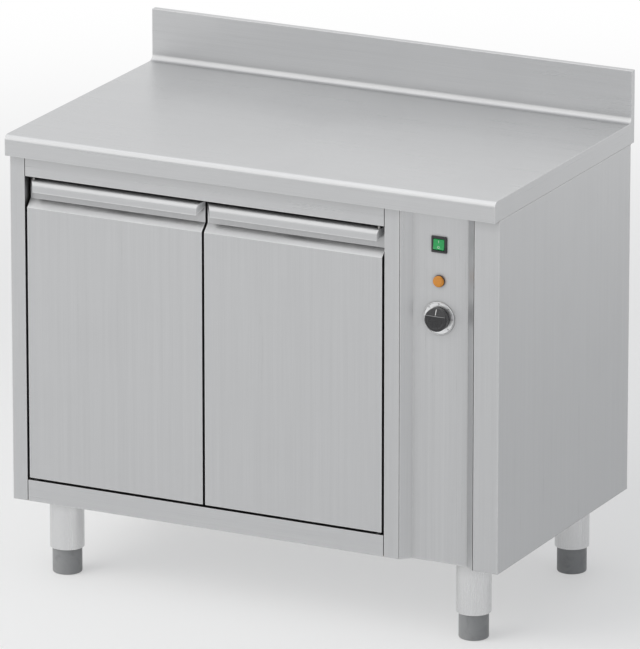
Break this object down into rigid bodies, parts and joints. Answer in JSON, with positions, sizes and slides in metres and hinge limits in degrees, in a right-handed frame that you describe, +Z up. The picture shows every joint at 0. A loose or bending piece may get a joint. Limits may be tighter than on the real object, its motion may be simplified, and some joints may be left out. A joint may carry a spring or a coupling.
{
  "type": "plate warmer cabinet",
  "caption": "Heated steel cabinet on legs with two hinged doors, a shelf, a worktop with backsplash and a recessed control panel with thermostat.",
  "frame": {"origin": "on the floor under the middle of the worktop", "axes": "+Z up, front of the cabinet towards -Y, right side as seen from the front towards +X"},
  "size_m": [1, 0.6, 0.96],
  "materials": {
    "steel": "satin",
    "inner_steel": "satin",
    "zinc_steel": "plated",
    "mineral_wool": "matte",
    "foot_plastic": "matte",
    "black_plastic": "matte",
    "white_plastic": "gloss",
    "green_plastic": "gloss",
    "amber_plastic": "gloss",
    "dial_aluminium": "satin",
    "fan_aluminium": "bare",
    "element_steel": "heat tinted",
    "motor_paint": "semi-matte",
    "copper": "bare",
    "brass": "bare",
    "wire_rubber": "matte"
  },
  "bodies": {
    "cabinet": {"worktop_skin": "steel", "worktop_stiffeners": "zinc_steel", "top_panel": "inner_steel", "bottom_panel": "inner_steel", "left_side_panel": "steel", "right_side_panel": "steel", "partition_panel": "steel", "top_rail": "steel", "bottom_rail": "steel", "pivot_bushes": "black_plastic", "door_magnets": "black_plastic", "control_panel": "steel", "rear_panel": "inner_steel", "service_cover": "inner_steel", "cover_screws": "zinc_steel", "chamber_left_wall": "inner_steel", "chamber_right_wall": "inner_steel", "chamber_rear_wall": "inner_steel", "chamber_floor": "inner_steel", "chamber_ceiling": "inner_steel", "left_insulation": "mineral_wool", "partition_insulation": "mineral_wool", "rear_insulation": "mineral_wool", "floor_insulation": "mineral_wool", "ceiling_insulation": "mineral_wool", "leg_plates": "zinc_steel", "leg_sleeves": "steel", "shelf": "inner_steel", "shelf_supports": "inner_steel", "fan_cover": "inner_steel", "heater_element": "element_steel", "fan_motor": "motor_paint", "thermostat_dial": "dial_aluminium", "thermostat_body": "black_plastic", "thermostat_bulb": "copper", "switch_housing": "black_plastic", "lamp_body": "black_plastic", "lamp_lens": "amber_plastic", "terminal_block": "white_plastic", "cable_gland": "black_plastic", "bonding_stud": "brass", "control_wiring": "wire_rubber"},
    "left_door": {"left_door_skin": "steel", "left_door_grip": "steel", "left_door_inner": "inner_steel", "left_door_filling": "mineral_wool", "left_door_pins": "zinc_steel"},
    "right_door": {"right_door_skin": "steel", "right_door_grip": "steel", "right_door_inner": "inner_steel", "right_door_filling": "mineral_wool", "right_door_pins": "zinc_steel"},
    "thermostat_knob": {"thermostat_knob": "black_plastic"},
    "switch_rocker": {"switch_rocker": "green_plastic"},
    "fan_wheel": {"fan_impeller": "fan_aluminium"},
    "front_left_foot": {"front_left_foot": "foot_plastic"},
    "front_right_foot": {"front_right_foot": "foot_plastic"},
    "rear_left_foot": {"rear_left_foot": "foot_plastic"},
    "rear_right_foot": {"rear_right_foot": "foot_plastic"}
  },
  "joints": [
    {"name": "left_door_hinge", "type": "hinge", "parent": "cabinet", "child": "left_door", "pos_m": [-0.455, -0.271, 0.5], "axis": [0, 0, -1], "range_deg": [0, 100]},
    {"name": "right_door_hinge", "type": "hinge", "parent": "cabinet", "child": "right_door", "pos_m": [0.255, -0.271, 0.5], "axis": [0, 0, 1], "range_deg": [0, 100]},
    {"name": "thermostat_turn", "type": "hinge", "parent": "cabinet", "child": "thermostat_knob", "pos_m": [0.372, -0.27, 0.616], "axis": [0, 1, 0], "range_deg": [0, 270]},
    {"name": "switch_rock", "type": "hinge", "parent": "cabinet", "child": "switch_rocker", "pos_m": [0.372, -0.2605, 0.755], "axis": [1, 0, 0], "range_deg": [0, 14]},
    {"name": "fan_spin", "type": "hinge", "parent": "cabinet", "child": "fan_wheel", "pos_m": [0.25, 0.01, 0.335], "axis": [1, 0, 0], "continuous": true},
    {"name": "front_left_foot_slide", "type": "slide", "parent": "cabinet", "child": "front_left_foot", "axis": [0, 0, -1], "range_m": [0, 0.04]},
    {"name": "front_right_foot_slide", "type": "slide", "parent": "cabinet", "child": "front_right_foot", "axis": [0, 0, -1], "range_m": [0, 0.04]},
    {"name": "rear_left_foot_slide", "type": "slide", "parent": "cabinet", "child": "rear_left_foot", "axis": [0, 0, -1], "range_m": [0, 0.04]},
    {"name": "rear_right_foot_slide", "type": "slide", "parent": "cabinet", "child": "rear_right_foot", "axis": [0, 0, -1], "range_m": [0, 0.04]}
  ]
}
